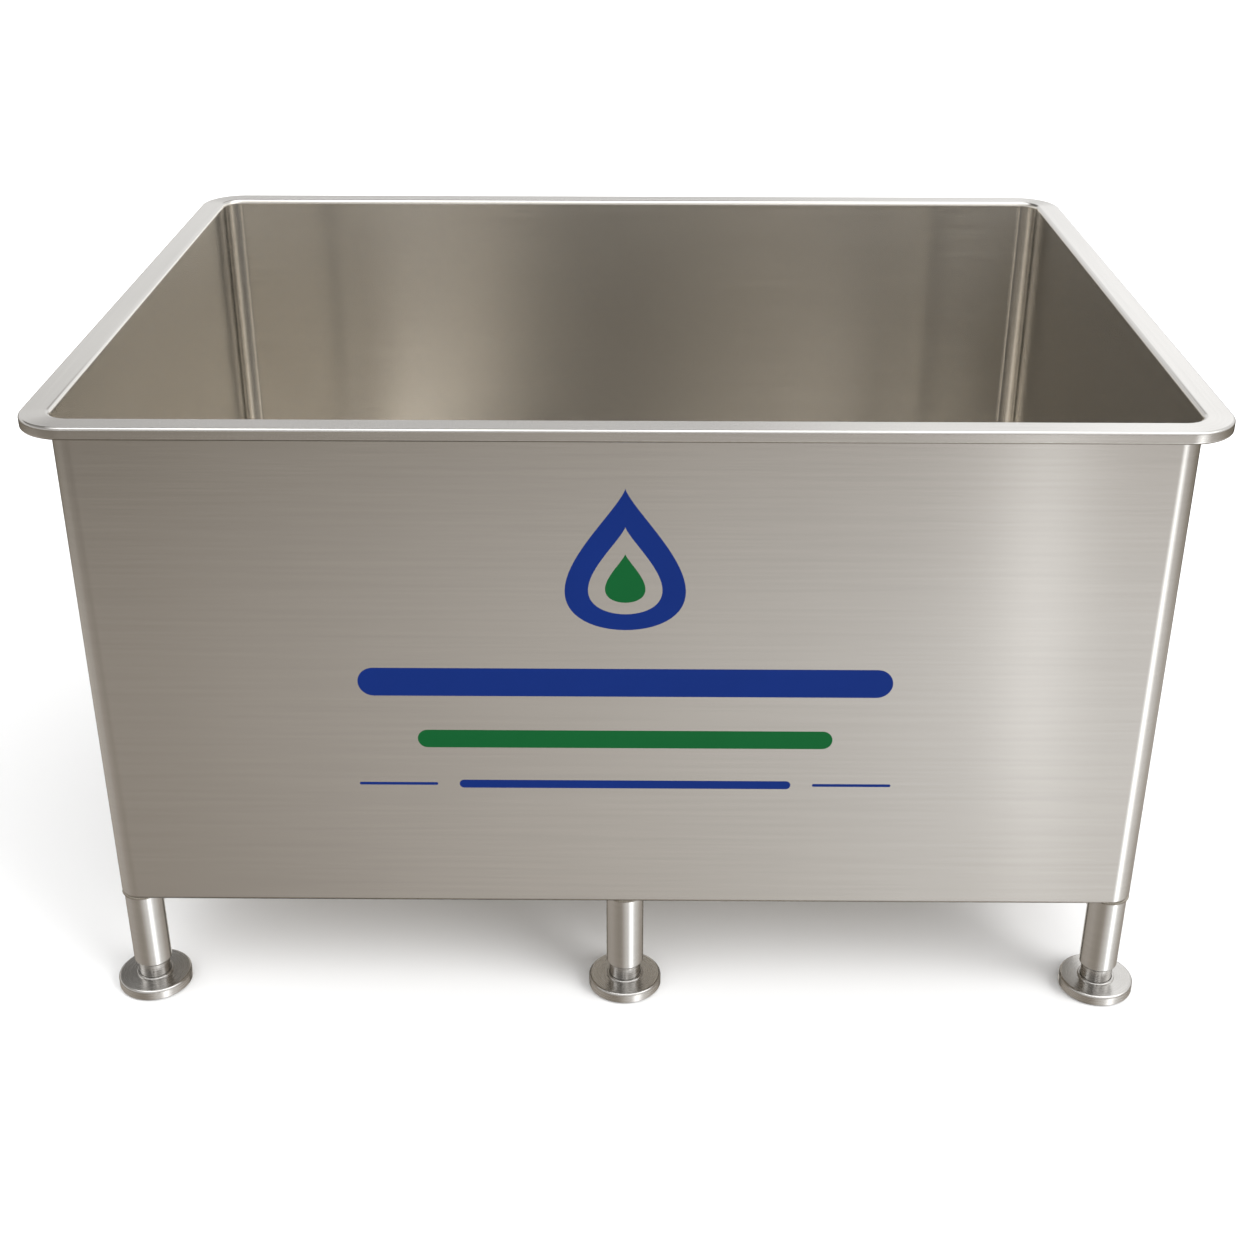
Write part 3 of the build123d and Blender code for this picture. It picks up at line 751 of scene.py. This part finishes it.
def bolt_tree():
    """Hexagon bolt with a nut, lying along Y, at every point."""
    tree, given = grower(
        "flange_bolt", Across_flats=("Float", 10 * MM), Head=("Float", 4 * MM), Shank=("Float", 6 * MM),
        Grip=("Float", 22 * MM), Length=("Float", 28 * MM), Material=("Material", None)
    )
    # A head or nut is a hexagon with a slightly narrower, thicker round through it, for its chamfered faces.
    corner, face, inner, shank, head_at, inner_at, shank_at = (
        add(tree, "ShaderNodeMath", {0: given[size], 1: share}, operation="MULTIPLY").outputs[0]
        for size, share in (("Across flats", 1 / math.sqrt(3)), ("Across flats", 0.47), ("Head", 0.86), ("Shank", 0.5),
                            ("Head", -0.5), ("Head", -0.43), ("Length", 0.5))
    )
    nut_at, nut_inner_at = (
        add(tree, "ShaderNodeMath", {0: given["Grip"], 1: place}, operation="SUBTRACT").outputs[0]
        for place in (head_at, inner_at)
    )
    head, over = given["Head"], given["Length"]
    solids = (
        (6, corner, inner, inner_at), (32, face, head, head_at), (24, shank, over, shank_at),
        (6, corner, inner, nut_inner_at), (32, face, head, nut_at),
    )
    bolt = add(tree, "GeometryNodeJoinGeometry")
    for sides, radius, depth, place in solids:
        solid = add(tree, "GeometryNodeMeshCylinder", {"Vertices": sides, "Radius": radius, "Depth": depth})
        offset = add(tree, "ShaderNodeCombineXYZ", {"Y": place})
        moved = add(tree, "GeometryNodeTransform", {
            "Geometry": solid.outputs[0], "Translation": offset.outputs[0], "Rotation": (math.pi / 2, 0, 0)})
        tree.links.new(moved.outputs[0], bolt.inputs[0])
    bolts = add(tree, "GeometryNodeInstanceOnPoints", {"Points": given["Geometry"], "Instance": bolt.outputs[0]})
    end_tree(tree, bolts.outputs[0], given["Material"])
    return tree


def make_bolts():
    low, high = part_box("valve_bolts")
    flats, head, length_over = 10 * MM, 4 * MM, high[1] - low[1]
    reach = (min(high[0] - low[0], high[2] - low[2]) - flats) / 2
    centre = ((low[0] + high[0]) / 2, (low[2] + high[2]) / 2)
    points = [(centre[0] + i * reach, low[1] + head, centre[1] + k * reach) for i in (-1, 1) for k in (-1, 1)]
    piece = grow("flange_bolts", bolt_tree(), points, [], Length=length_over - head, Material=blasted_stainless())
    dress(piece, None, "turned_stainless", TUB, "valve_bolts")


def bar(x0, x1, middle, width, steps=16):
    """Outline of a straight bar with round ends."""
    r = width / 2
    points = []
    for centre, start in ((x1 - r, -90), (x0 + r, 90)):
        for k in range(steps + 1):
            angle = math.radians(start + 180 * k / steps)
            points.append((centre + r * math.cos(angle), middle + r * math.sin(angle)))
    return points


def make_lever():
    """Valve lever: a bar with rounded edges and a turned hub."""
    low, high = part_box("valve_handle")
    half = (high[1] - low[1]) / 2
    hub = (low[0] + half, (low[1] + high[1]) / 2)
    width, thick = 20 * MM, 6 * MM
    middle = (low[2] + high[2]) / 2
    outline = bar(hub[0] - width / 2, high[0], hub[1], width, steps=15)
    bm = bmesh.new()
    base = bm.faces.new([bm.verts.new((x, y, middle - thick / 2)) for x, y in outline])
    pushed = bmesh.ops.extrude_face_region(bm, geom=[base])
    for v in (g for g in pushed["geom"] if isinstance(g, bmesh.types.BMVert)):
        v.co.z += thick
    bmesh.ops.recalc_face_normals(bm, faces=bm.faces)
    rims = [e for e in bm.edges if len(e.link_faces) == 2 and e.calc_face_angle() > 1.2]
    bmesh.ops.bevel(bm, geom=rims, offset=1.8 * MM, segments=3, profile=0.5, affect="EDGES")
    hub_piece = turned_piece("hub", hub, [
        (0, low[2], 0), (half, low[2], 1.0 * MM), (half, high[2], 2.0 * MM), (5.2 * MM, high[2], 0.3 * MM),
        (5.0 * MM, high[2] - 0.6 * MM, 0), (0, high[2] - 0.6 * MM, 0),
    ], steps=64)
    for face in bm.faces:
        face.smooth = True
    bm.from_mesh(hub_piece.data)
    bpy.data.objects.remove(hub_piece)
    piece = piece_from(bm, "valve_lever")
    flat_faces_stay_flat(piece)
    dress(piece, blasted_stainless(), "polished_stainless", "valve_shaft", "valve_handle")


# ---- print ----

FILM = 0.15 * MM


def film(name, outlines, material):
    """Cut film on the front wall: a flat shape in X and Z with a little thickness. A second outline is a hole."""
    bm = bmesh.new()
    face_y = -WALL_Y - FILM
    edges = []
    for outline in outlines:
        verts = [bm.verts.new((x, face_y, z)) for x, z in outline]
        edges += [bm.edges.new((a, b)) for a, b in zip(verts, verts[1:] + verts[:1])]
    filled = bmesh.ops.triangle_fill(bm, use_beauty=True, edges=edges, normal=(0, -1, 0))
    faces = [g for g in filled["geom"] if isinstance(g, bmesh.types.BMFace)]
    pushed = bmesh.ops.extrude_face_region(bm, geom=faces)
    for v in (g for g in pushed["geom"] if isinstance(g, bmesh.types.BMVert)):
        v.co.y = -WALL_Y
    bmesh.ops.recalc_face_normals(bm, faces=bm.faces)
    dress(closed_piece(bm, name), material, "satin_stainless", TUB)


def drop(x, z, width, height, steps=72):
    """Outline of a drop with its point up."""
    belly, point = 0.72, 1.6
    points = []
    for k in range(steps):
        t = 2 * math.pi * k / steps
        side = belly * math.sin(t) * math.sin(t / 2) ** point
        points.append((x + width * side, z + height / 2 * math.cos(t)))
    return points


def make_print():
    blue = vinyl("vinyl_blue", finish().blue)
    green = vinyl("vinyl_green", finish().green)
    film("print_drop", [drop(0, 0.664, 0.150, 0.190), drop(0, 0.650, 0.092, 0.118)], blue)
    film("print_drop_middle", [drop(0, 0.640, 0.050, 0.066)], green)
    film("print_bar_wide", [bar(-0.338, 0.338, 0.494, 0.040)], blue)
    film("print_bar_narrow", [bar(-0.266, 0.266, 0.411, 0.026)], green)
    film("print_rule_left", [bar(-0.345, -0.243, 0.343, 0.004)], blue)
    film("print_rule_middle", [bar(-0.215, 0.215, 0.343, 0.012)], blue)
    film("print_rule_right", [bar(0.243, 0.345, 0.343, 0.004)], blue)


# ---- outlet and hidden steel ----

def paint(node, material):
    """Gives a CAD node its material."""
    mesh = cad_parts[node].data
    mesh.materials.clear()
    mesh.materials.append(material)


def make_outlet():
    for name in (*CHANNELS, "leg_studs", "outlet_bend", "valve_body_front", "valve_body_rear", "valve_disc",
                 "outlet_ferrule"):
        paint(name, blasted_stainless())
    paint("valve_seal", rubber_material("seal_rubber", finish().seal, 0.5))


# ---- stage ----

def make_floor_stage():
    side = studio().floor_size / 2
    bm = bmesh.new()
    under_feet = -0.5 * MM
    bm.faces.new([bm.verts.new((x * side, y * side, under_feet)) for x, y in ((-1, -1), (1, -1), (1, 1), (-1, 1))])
    ground = piece_from(bm, "studio_floor")
    # Matt white paper, there from above only. Mirror reflections pass through it to the studio below the horizon.
    material, tree, shader = new_material("studio_paper", linear("#f6f6f6"), 0.0, 0.9, Specular_IOR_Level=0.0)
    rays = add(tree, "ShaderNodeLightPath")
    clear = add(tree, "ShaderNodeBsdfTransparent")
    under = add(tree, "ShaderNodeNewGeometry").outputs["Backfacing"]
    either = {0: rays.outputs["Is Glossy Ray"], 1: under}
    unseen = add(tree, "ShaderNodeMath", either, operation="MAXIMUM").outputs[0]
    mix = add(tree, "ShaderNodeMixShader", {0: unseen, 1: shader.outputs[0], 2: clear.outputs[0]})
    tree.links.new(mix.outputs[0], tree.nodes["Material Output"].inputs["Surface"])
    ground.data.materials.append(material)


# Brightness of the studio round the tank, as (angle, brightness): 0 in front, 90 to the right, 180 behind.
# Below the horizon: mirrored in the outer walls, legs and feet.
LOW_STUDIO = (
    (-180, 0.85), (-164, 0.8), (-160, 0.05), (-145, 0.05), (-137, 0.42), (-100, 0.5), (-80, 0.5), (-60, 0.4),
    (-35, 0.36), (-18, 0.42), (-13.4, 0.5), (-10.3, 0.53), (-6.4, 0.59), (0, 0.66), (4.4, 0.74), (8, 0.8),
    (10.5, 0.86), (12.6, 1.12), (14, 1.8), (15, 1.3), (17, 0.95), (18.5, 1), (25, 1.1), (34, 2), (40, 2.6),
    (46, 2), (60, 0.95), (80, 0.75), (110, 0.48), (137, 0.42), (145, 0.05), (160, 0.05), (164, 0.8), (180, 0.85),
)
# Lower still: mirrored in the foot of the walls.
DEEP_STUDIO = (
    (-180, 0.8), (-164, 0.75), (-160, 0.05), (-145, 0.05), (-137, 0.4), (-100, 0.45), (-80, 0.45), (-60, 0.4),
    (-35, 0.35), (-18, 0.38), (-13.4, 0.46), (-10.3, 0.51), (-6.4, 0.57), (0, 0.66), (4.4, 0.73), (8, 0.77),
    (10.5, 0.84), (12, 0.88), (14, 0.72), (17, 0.7), (25, 1), (34, 2), (40, 2.6), (46, 2), (60, 0.95), (80, 0.75),
    (110, 0.45), (137, 0.4), (145, 0.05), (160, 0.05), (164, 0.75), (180, 0.8),
)
# From the horizon up: mirrored in the rim.
RIM_STUDIO = (
    (-180, 1.1), (-170, 1.05), (-166, 1), (-160, 0.9), (-120, 0.9), (0, 0.9), (60, 1), (120, 1), (150, 1.2),
    (159, 1.35), (162, 1.6), (167, 1.15), (172, 1.1), (180, 1.1),
)
# From the horizon up as well, but seen only by the inside, after more than one reflection.
INSIDE_STUDIO = (
    (-180, 0.25), (-177, 0.1), (-175.5, 0.15), (-174, 1.4), (-172.5, 3.8), (-170.5, 3.8), (-169, 1.8),
    (-167.5, 0.1), (-150, 0.15), (-120, 0.3), (-100, 1.8), (-80, 1.8), (-60, 0.4), (-16, 0.15), (-12, 0.5),
    (-11, 1.2), (-9, 2.4), (-7.5, 2.2), (-5.5, 0.3), (-3, 0.1), (0, 0.25), (3, 0.6), (6, 0.6), (8, 0.7), (10, 1.8),
    (12, 1.2), (14, 2.8), (17, 1.3), (30, 0.6), (60, 1), (80, 2), (100, 2), (120, 0.8), (150, 0.8), (160, 0.9),
    (164, 0.9), (166, 3), (167.3, 1.4), (168.5, 1), (170, 2.6), (171.5, 0.9), (173, 0.5), (176, 0.6), (178, 0.4),
    (180, 0.25),
)
# High up, above what the rim mirrors.
HIGH_STUDIO = (
    (-180, 0.2), (-165, 0.15), (-120, 0.3), (-60, 0.5), (0, 0.8), (40, 1.5), (70, 3), (85, 2.2), (105, 1.2),
    (140, 1), (155, 1.2), (164, 1.5), (170, 1.2), (176, 0.3), (180, 0.2),
)
OVERHEAD = 2.8
# A height is the sine of the angle above the horizon. Each table gives way to the next between two heights.
DEEP_TO_LOW = (-0.56, -0.46)
LOW_TO_RIM = (-0.17, 0.1)
RIM_TO_HIGH = (0.40, 0.48)
HIGH_TO_OVERHEAD = (0.82, 0.94)
# Factor on all of them, as (height, factor).
BY_HEIGHT = (
    (-1, 0.3), (-0.85, 0.35), (-0.72, 1), (-0.6, 1.02), (-0.5, 1.4), (-0.44, 1.68), (-0.4, 0.8), (-0.36, 0.52),
    (-0.2, 0.35), (0, 0.6), (0.16, 1), (1, 1),
)
# Top of the brightness scale that the curves and tints are kept on.
BRIGHTEST = 8.0
# Tint by brightness, and how far and where above the horizon it turns to neutral.
TINTS = (
    (0.25, (1.0, 0.86, 0.675)), (0.5, (1.0, 0.90, 0.80)), (0.75, (1.0, 0.95, 0.88)), (1.05, (1.0, 0.985, 0.96)),
    (1.25, (1.0, 1.0, 1.0)),
)
NEUTRAL_SHARE = 0.7
NEUTRAL_HEIGHTS = (-0.1, 0.15)
# Light on matt surfaces, and what the camera sees of the studio itself.
MATT_LIGHT, BACKDROP = 1.3, 1.0
# Ray Depth of a first reflection is 2 here, so this parts it from the later ones.
FIRST_REFLECTION_DEPTH = 2.5


def curve_through(tree, value, points, low, high):
    """Straight-line curve through (place, value) points; place runs from low to high."""
    place = add(tree, "ShaderNodeMapRange", {"Value": value, "From Min": low, "From Max": high})
    node = add(tree, "ShaderNodeFloatCurve", {"Value": place.outputs[0]})
    curve = node.mapping.curves[0]
    spots = [((x - low) / (high - low), y / BRIGHTEST) for x, y in points]
    curve.points[0].location = spots[0]
    curve.points[1].location = spots[-1]
    for spot in spots[1:-1]:
        curve.points.new(*spot)
    for point in curve.points:
        point.handle_type = "VECTOR"
    node.mapping.update()
    return node.outputs[0]


def blended(tree, below, above, height, ends):
    """One brightness below a pair of heights and another above it."""
    share = add(tree, "ShaderNodeMapRange", {"Value": height, "From Min": ends[0], "From Max": ends[1]})
    return add(tree, "ShaderNodeMix", {0: share.outputs[0], 2: below, 3: above}, data_type="FLOAT").outputs[0]


def make_studio_light():
    world = bpy.data.worlds.new("studio")
    bpy.context.scene.world = world
    world.use_nodes = True
    tree = world.node_tree
    way = add(tree, "ShaderNodeSeparateXYZ", {0: add(tree, "ShaderNodeTexCoord").outputs["Generated"]})
    front = add(tree, "ShaderNodeMath", {0: way.outputs["Y"], 1: -1.0}, operation="MULTIPLY").outputs[0]
    angle = add(tree, "ShaderNodeMath", {0: way.outputs["X"], 1: front}, operation="ARCTAN2").outputs[0]
    degrees = add(tree, "ShaderNodeMath", {0: angle}, operation="DEGREES").outputs[0]
    low, deep, rim, inside, high = (
        curve_through(tree, degrees, table, -180, 180)
        for table in (LOW_STUDIO, DEEP_STUDIO, RIM_STUDIO, INSIDE_STUDIO, HIGH_STUDIO)
    )
    z = way.outputs["Z"]
    height = curve_through(tree, z, BY_HEIGHT, -1, 1)
    rays = add(tree, "ShaderNodeLightPath")
    depths = {0: rays.outputs["Ray Depth"], 1: FIRST_REFLECTION_DEPTH}
    first = add(tree, "ShaderNodeMath", depths, operation="LESS_THAN").outputs[0]
    below = blended(tree, deep, low, z, DEEP_TO_LOW)
    above = blended(tree, rim, high, z, RIM_TO_HIGH)
    above = blended(tree, above, OVERHEAD / BRIGHTEST, z, HIGH_TO_OVERHEAD)
    above = blended(tree, inside, above, first, (0, 1))
    mixed = blended(tree, below, above, z, LOW_TO_RIM)
    level = add(tree, "ShaderNodeMath", {0: mixed, 1: height}, operation="MULTIPLY").outputs[0]
    level = add(tree, "ShaderNodeMath", {0: level, 1: BRIGHTEST}, operation="MULTIPLY").outputs[0]
    tint = add(tree, "ShaderNodeValToRGB", {"Fac": level})
    ramp = tint.color_ramp
    for place, tone in TINTS:
        stop = ramp.elements.new(place / BRIGHTEST)
        stop.color = (*tone, 1)
    ramp.elements.remove(ramp.elements[0])
    ramp.elements.remove(ramp.elements[-1])
    white = (1, 1, 1, 1)
    low_end, high_end = NEUTRAL_HEIGHTS
    neutral = add(tree, "ShaderNodeMapRange", {
        "Value": z, "From Min": low_end, "From Max": high_end, "To Min": 0.0, "To Max": NEUTRAL_SHARE})
    tinted = add(tree, "ShaderNodeMix", {0: neutral.outputs[0], 6: tint.outputs[0], 7: white}, data_type="RGBA")
    gain = add(tree, "ShaderNodeMath", {0: level, 1: BRIGHTEST}, operation="MULTIPLY").outputs[0]
    mirrored = add(tree, "ShaderNodeBackground", {"Color": tinted.outputs[2], "Strength": gain}).outputs[0]
    strength = add(tree, "ShaderNodeMapRange", {
        "Value": rays.outputs["Is Camera Ray"], "To Min": MATT_LIGHT, "To Max": BACKDROP}).outputs[0]
    plain = add(tree, "ShaderNodeBackground", {"Color": white, "Strength": strength}).outputs[0]
    mix = add(tree, "ShaderNodeMixShader", {0: rays.outputs["Is Glossy Ray"], 1: plain, 2: mirrored})
    tree.links.new(mix.outputs[0], tree.nodes["World Output"].inputs["Surface"])


def make_key_light():
    """Wide soft light from the front right. It lights the floor, rubber and print; the metal mirrors the studio."""
    data = bpy.data.lights.new("key_light", "SUN")
    data.energy = 2.6
    data.angle = math.radians(40)
    light = bpy.data.objects.new("key_light", data)
    light.rotation_euler = (math.radians(63), 0, math.radians(60))
    light.visible_glossy = False
    bpy.context.scene.collection.objects.link(light)


def make_camera():
    s = studio()
    data = bpy.data.cameras.new("camera")
    data.lens = s.lens
    data.sensor_width = 36
    camera = bpy.data.objects.new("camera", data)
    camera.location = s.camera
    camera.rotation_euler = (math.pi / 2 - s.pitch, s.roll, s.yaw)
    bpy.context.scene.collection.objects.link(camera)
    bpy.context.scene.camera = camera
    bpy.context.scene.view_settings.view_transform = "Standard"


# ---- operators ----

class TANK_OT_tub(bpy.types.Operator):
    """Makes the folded tub with its rim"""

    bl_idname = "tank.tub"
    bl_label = "Tub and rim"

    def execute(self, context):
        make_tub()
        return {"FINISHED"}


class TANK_OT_floor(bpy.types.Operator):
    """Makes the floor with its falls to the outlet"""

    bl_idname = "tank.floor"
    bl_label = "Floor"

    def execute(self, context):
        make_floor()
        return {"FINISHED"}


class TANK_OT_legs(bpy.types.Operator):
    """Makes the six leg tubes"""

    bl_idname = "tank.legs"
    bl_label = "Legs"

    def execute(self, context):
        make_legs()
        return {"FINISHED"}


class TANK_OT_feet(bpy.types.Operator):
    """Makes the six screwed feet"""

    bl_idname = "tank.feet"
    bl_label = "Feet"

    def execute(self, context):
        make_feet()
        return {"FINISHED"}


class TANK_OT_welds(bpy.types.Operator):
    """Makes the weld beads under the tub"""

    bl_idname = "tank.welds"
    bl_label = "Welds"

    def execute(self, context):
        make_welds()
        return {"FINISHED"}


class TANK_OT_print(bpy.types.Operator):
    """Makes the plain print on the front"""

    bl_idname = "tank.print"
    bl_label = "Print"

    def execute(self, context):
        make_print()
        return {"FINISHED"}


class TANK_OT_outlet(bpy.types.Operator):
    """Finishes the outlet, valve and channels"""

    bl_idname = "tank.outlet"
    bl_label = "Outlet"

    def execute(self, context):
        make_outlet()
        make_bolts()
        make_lever()
        return {"FINISHED"}


class TANK_OT_stage(bpy.types.Operator):
    """Makes the floor, light and camera"""

    bl_idname = "tank.stage"
    bl_label = "Stage"

    def execute(self, context):
        make_floor_stage()
        make_studio_light()
        make_key_light()
        make_camera()
        return {"FINISHED"}


OPERATORS = (
    TANK_OT_tub, TANK_OT_floor, TANK_OT_legs, TANK_OT_feet, TANK_OT_welds, TANK_OT_print, TANK_OT_outlet, TANK_OT_stage,
)


class TANK_PT_panel(bpy.types.Panel):
    """Lists the makers and their settings"""

    bl_label = "Milk tank"
    bl_idname = "TANK_PT_panel"
    bl_space_type = "VIEW_3D"
    bl_region_type = "UI"
    bl_category = "Milk tank"

    def draw(self, context):
        for group in GROUPS:
            box = self.layout.box()
            settings = getattr(context.scene, GROUPS[group])
            for key in group.__annotations__:
                box.prop(settings, key)
        for item in OPERATORS:
            self.layout.operator(item.bl_idname)


GROUPS = {TankSheet: "tank_sheet", TankFinish: "tank_finish", TankStudio: "tank_studio"}


def register():
    for item in (*GROUPS, *OPERATORS, TANK_PT_panel):
        bpy.utils.register_class(item)
    for group, name in GROUPS.items():
        setattr(bpy.types.Scene, name, PointerProperty(type=group))


def unregister():
    for name in GROUPS.values():
        delattr(bpy.types.Scene, name)
    for item in reversed((*GROUPS, *OPERATORS, TANK_PT_panel)):
        bpy.utils.unregister_class(item)


def main():
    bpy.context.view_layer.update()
    register()
    for item in OPERATORS:
        group, name = item.bl_idname.split(".")
        getattr(getattr(bpy.ops, group), name)()
    bpy.context.view_layer.update()


if __name__ == "__main__":
    main()
